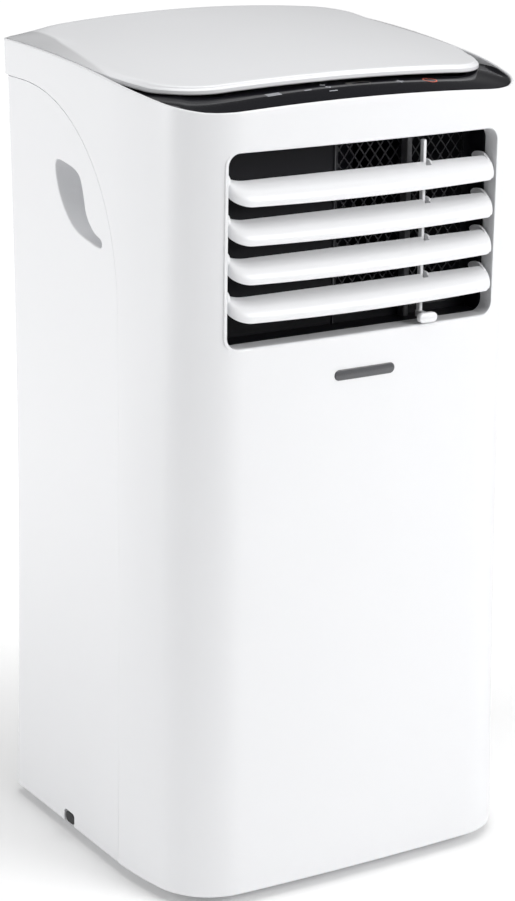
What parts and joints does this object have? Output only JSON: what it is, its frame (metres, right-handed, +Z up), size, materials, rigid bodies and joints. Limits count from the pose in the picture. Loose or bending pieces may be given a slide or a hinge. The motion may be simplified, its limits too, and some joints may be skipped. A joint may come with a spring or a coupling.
{
  "type": "portable air conditioner",
  "caption": "Upright portable air conditioner: white moulded body with louvred front outlet, black touch panel, crowned lid, hand recesses, rear exhaust spigot, filters and casters.",
  "frame": {"origin": "middle of the bounding box's footprint, on the floor under the caster wheels", "axes": "+Z up, the louvred outlet faces -Y, +X to the right seen from the front"},
  "size_m": [0.3508, 0.3428, 0.7096],
  "materials": {
    "white_shell": "satin-gloss moulded plastic, cool white",
    "white_louver": "satin moulded plastic, white",
    "black_gloss": "piano-black touch panel",
    "black_plastic": "matt black moulded plastic",
    "badge": "plain dark grey badge",
    "filter_mesh": "fine woven nylon filter",
    "rubber": "black rubber",
    "galvanised": "galvanised sheet",
    "fins": "aluminium fins",
    "aluminium_can": "drawn aluminium can",
    "copper": "copper tube",
    "steel": "turned steel",
    "painted_black": "black enamel",
    "circuit_board": "green circuit board",
    "caster": "dark grey nylon",
    "caster_tread": "dark grey nylon wheel"
  },
  "bodies": {
    "cabinet": {"front_panel": "white_shell", "rear_shell": "white_shell", "handle_cup_left": "white_shell", "handle_cup_right": "white_shell", "top_lid": "white_shell", "control_panel": "black_gloss", "display_board": "circuit_board", "control_board": "circuit_board", "name_badge": "badge", "outlet_plenum": "black_plastic", "outlet_guard": "black_plastic", "outlet_neck": "black_plastic", "upper_scroll": "black_plastic", "lower_scroll": "black_plastic", "upper_motor": "galvanised", "lower_motor": "galvanised", "exhaust_duct": "black_plastic", "exhaust_spigot": "white_shell", "evaporator_coil": "fins", "condenser_coil": "fins", "compressor": "painted_black", "accumulator": "painted_black", "compressor_foot_1": "rubber", "compressor_foot_2": "rubber", "compressor_foot_3": "rubber", "suction_pipe": "copper", "discharge_pipe": "copper", "liquid_pipe": "copper", "control_box": "galvanised", "run_capacitor": "aluminium_can", "drain_pump": "black_plastic", "slinger_motor": "galvanised", "base_pan": "galvanised", "partition_tray": "black_plastic", "cord_gland": "rubber"},
    "louver_blade_1": {"louver_1": "white_louver"},
    "louver_blade_2": {"louver_2": "white_louver"},
    "louver_blade_3": {"louver_3": "white_louver"},
    "louver_blade_4": {"louver_4": "white_louver"},
    "louver_link": {"link_bar": "white_louver"},
    "upper_blower": {"upper_wheel": "black_plastic", "upper_shaft": "steel"},
    "lower_blower": {"lower_wheel": "black_plastic", "lower_shaft": "steel"},
    "slinger": {"slinger_wheel": "white_louver"},
    "upper_filter": {"upper_filter_frame": "white_shell", "upper_filter_mesh": "filter_mesh"},
    "lower_filter": {"lower_filter_frame": "white_shell", "lower_filter_mesh": "filter_mesh"},
    "upper_plug": {"drain_plug_upper": "rubber"},
    "lower_plug": {"drain_plug_lower": "rubber"},
    "caster_front_left": {"caster_front_left_fork": "caster"},
    "caster_front_left_roller": {"caster_front_left_wheel": "caster_tread"},
    "caster_front_right": {"caster_front_right_fork": "caster"},
    "caster_front_right_roller": {"caster_front_right_wheel": "caster_tread"},
    "caster_rear_left": {"caster_rear_left_fork": "caster"},
    "caster_rear_left_roller": {"caster_rear_left_wheel": "caster_tread"},
    "caster_rear_right": {"caster_rear_right_fork": "caster"},
    "caster_rear_right_roller": {"caster_rear_right_wheel": "caster_tread"}
  },
  "joints": [
    {"name": "louver_1_tilt", "type": "hinge", "parent": "cabinet", "child": "louver_blade_1", "pos_m": [0, -0.139, 0.61], "axis": [-1, 0, 0], "range_deg": [0, 35]},
    {"name": "louver_2_tilt", "type": "hinge", "parent": "cabinet", "child": "louver_blade_2", "pos_m": [0, -0.139, 0.579], "axis": [-1, 0, 0], "range_deg": [0, 35]},
    {"name": "louver_3_tilt", "type": "hinge", "parent": "cabinet", "child": "louver_blade_3", "pos_m": [0, -0.139, 0.548], "axis": [-1, 0, 0], "range_deg": [0, 35]},
    {"name": "louver_4_tilt", "type": "hinge", "parent": "cabinet", "child": "louver_blade_4", "pos_m": [0, -0.139, 0.517], "axis": [-1, 0, 0], "range_deg": [0, 35]},
    {"name": "link_pivot", "type": "hinge", "parent": "louver_blade_1", "child": "louver_link", "pos_m": [0.0645, -0.1495, 0.61], "axis": [-1, 0, 0], "range_deg": [-35, 0]},
    {"name": "upper_blower_spin", "type": "hinge", "parent": "cabinet", "child": "upper_blower", "pos_m": [-0.02, 0, 0.5], "axis": [0, 1, 0], "continuous": true},
    {"name": "lower_blower_spin", "type": "hinge", "parent": "cabinet", "child": "lower_blower", "pos_m": [0.045, 0, 0.13], "axis": [0, 1, 0], "continuous": true},
    {"name": "slinger_spin", "type": "hinge", "parent": "cabinet", "child": "slinger", "pos_m": [-0.02, 0.074, 0.046], "axis": [0, 1, 0], "continuous": true},
    {"name": "upper_filter_slide", "type": "slide", "parent": "cabinet", "child": "upper_filter", "axis": [0, 1, 0], "range_m": [0, 0.06]},
    {"name": "upper_plug_pull", "type": "slide", "parent": "cabinet", "child": "upper_plug", "axis": [0, 1, 0], "range_m": [0, 0.03]},
    {"name": "lower_filter_slide", "type": "slide", "parent": "cabinet", "child": "lower_filter", "axis": [0, 1, 0], "range_m": [0, 0.06]},
    {"name": "lower_plug_pull", "type": "slide", "parent": "cabinet", "child": "lower_plug", "axis": [0, 1, 0], "range_m": [0, 0.03]},
    {"name": "caster_front_left_swivel", "type": "hinge", "parent": "cabinet", "child": "caster_front_left", "pos_m": [-0.125, -0.116, 0.04], "axis": [0, 0, 1], "continuous": true},
    {"name": "caster_front_left_roll", "type": "hinge", "parent": "caster_front_left", "child": "caster_front_left_roller", "pos_m": [-0.125, -0.106, 0.0165], "axis": [1, 0, 0], "continuous": true},
    {"name": "caster_front_right_swivel", "type": "hinge", "parent": "cabinet", "child": "caster_front_right", "pos_m": [0.125, -0.116, 0.04], "axis": [0, 0, 1], "continuous": true},
    {"name": "caster_front_right_roll", "type": "hinge", "parent": "caster_front_right", "child": "caster_front_right_roller", "pos_m": [0.125, -0.106, 0.0165], "axis": [1, 0, 0], "continuous": true},
    {"name": "caster_rear_left_swivel", "type": "hinge", "parent": "cabinet", "child": "caster_rear_left", "pos_m": [-0.125, 0.097, 0.04], "axis": [0, 0, 1], "continuous": true},
    {"name": "caster_rear_left_roll", "type": "hinge", "parent": "caster_rear_left", "child": "caster_rear_left_roller", "pos_m": [-0.125, 0.107, 0.0165], "axis": [1, 0, 0], "continuous": true},
    {"name": "caster_rear_right_swivel", "type": "hinge", "parent": "cabinet", "child": "caster_rear_right", "pos_m": [0.125, 0.097, 0.04], "axis": [0, 0, 1], "continuous": true},
    {"name": "caster_rear_right_roll", "type": "hinge", "parent": "caster_rear_right", "child": "caster_rear_right_roller", "pos_m": [0.125, 0.107, 0.0165], "axis": [1, 0, 0], "continuous": true}
  ],
  "couplings": [
    {"joint": "louver_2_tilt", "follows": "louver_1_tilt", "ratio": 1},
    {"joint": "louver_3_tilt", "follows": "louver_1_tilt", "ratio": 1},
    {"joint": "louver_4_tilt", "follows": "louver_1_tilt", "ratio": 1},
    {"joint": "link_pivot", "follows": "louver_1_tilt", "ratio": -1}
  ]
}
